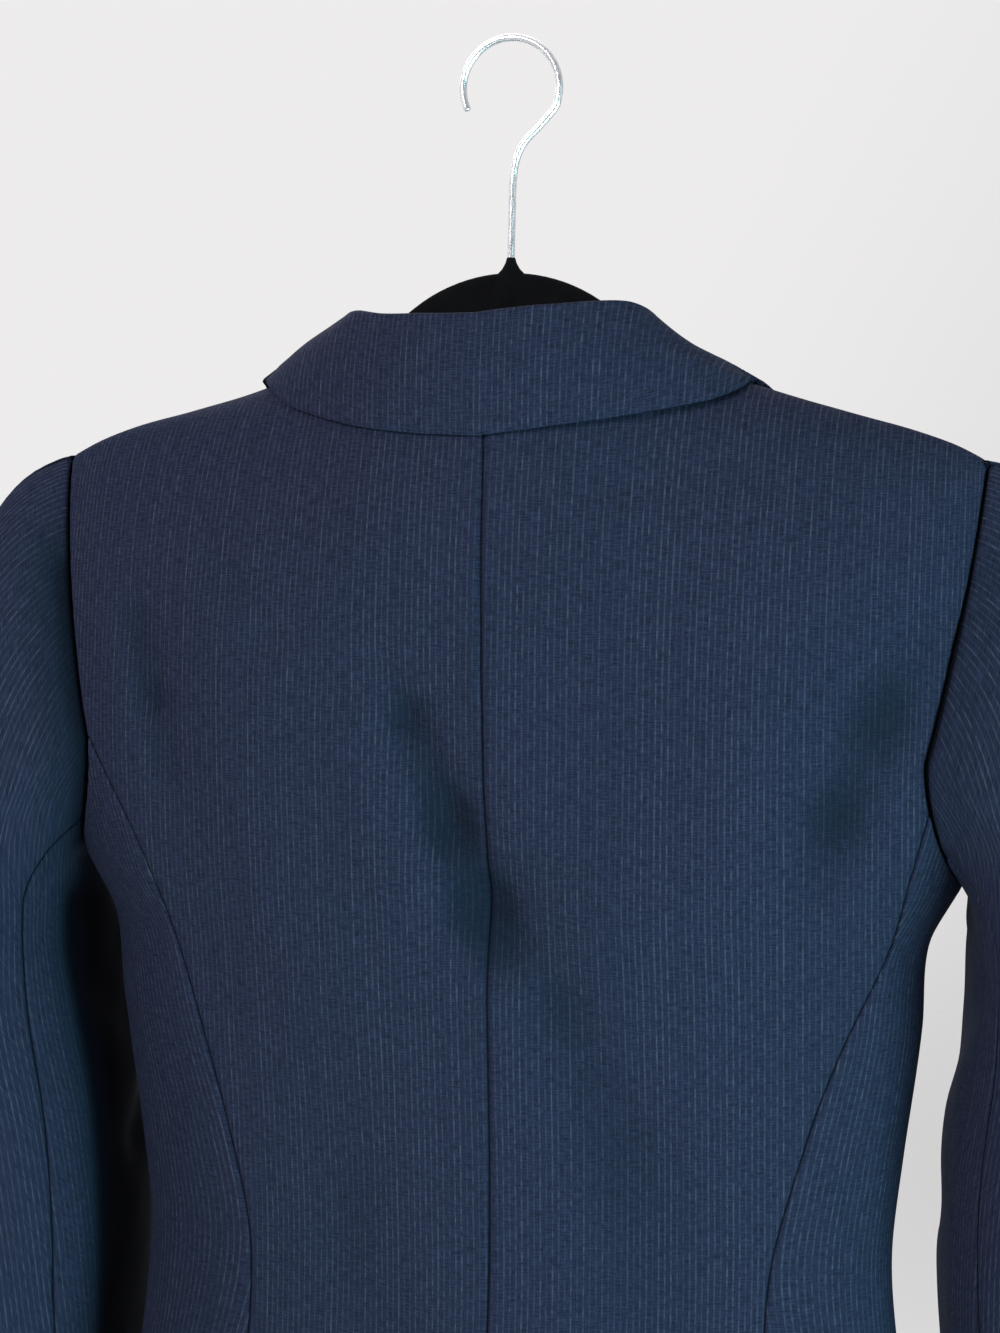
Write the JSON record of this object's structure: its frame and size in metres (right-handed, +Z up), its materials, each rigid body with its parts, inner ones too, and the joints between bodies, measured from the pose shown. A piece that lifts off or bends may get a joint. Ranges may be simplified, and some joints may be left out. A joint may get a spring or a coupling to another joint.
{
  "type": "single breasted blazer on a hanger",
  "caption": "Fitted pinstripe blazer hanging on a slim velvet hanger: notch lapels, folded collar, princess seams, long set-in sleeves and a wire hook.",
  "frame": {"origin": "inner top of the hanger's hook, where a rail carries it", "axes": "+Z up, +Y out of the garment's back, +X towards the wearer's left"},
  "size_m": [0.5498, 0.1815, 0.7691],
  "materials": {
    "suit_cloth": "woven, matte, pale pinstripes",
    "velvet": "flocked, matte",
    "wire": "bright",
    "button": "satin"
  },
  "bodies": {
    "root": {"back_left": "suit_cloth", "back_right": "suit_cloth", "side_left": "suit_cloth", "side_right": "suit_cloth", "front_left": "suit_cloth", "front_right": "suit_cloth", "lapel_left": "suit_cloth", "lapel_right": "suit_cloth", "collar": "suit_cloth", "top_sleeve_left": "suit_cloth", "top_sleeve_right": "suit_cloth", "under_sleeve_left": "suit_cloth", "under_sleeve_right": "suit_cloth", "button_upper": "button", "button_lower": "button", "hanger_body": "velvet", "hanger_hook": "wire"}
  },
  "joints": []
}
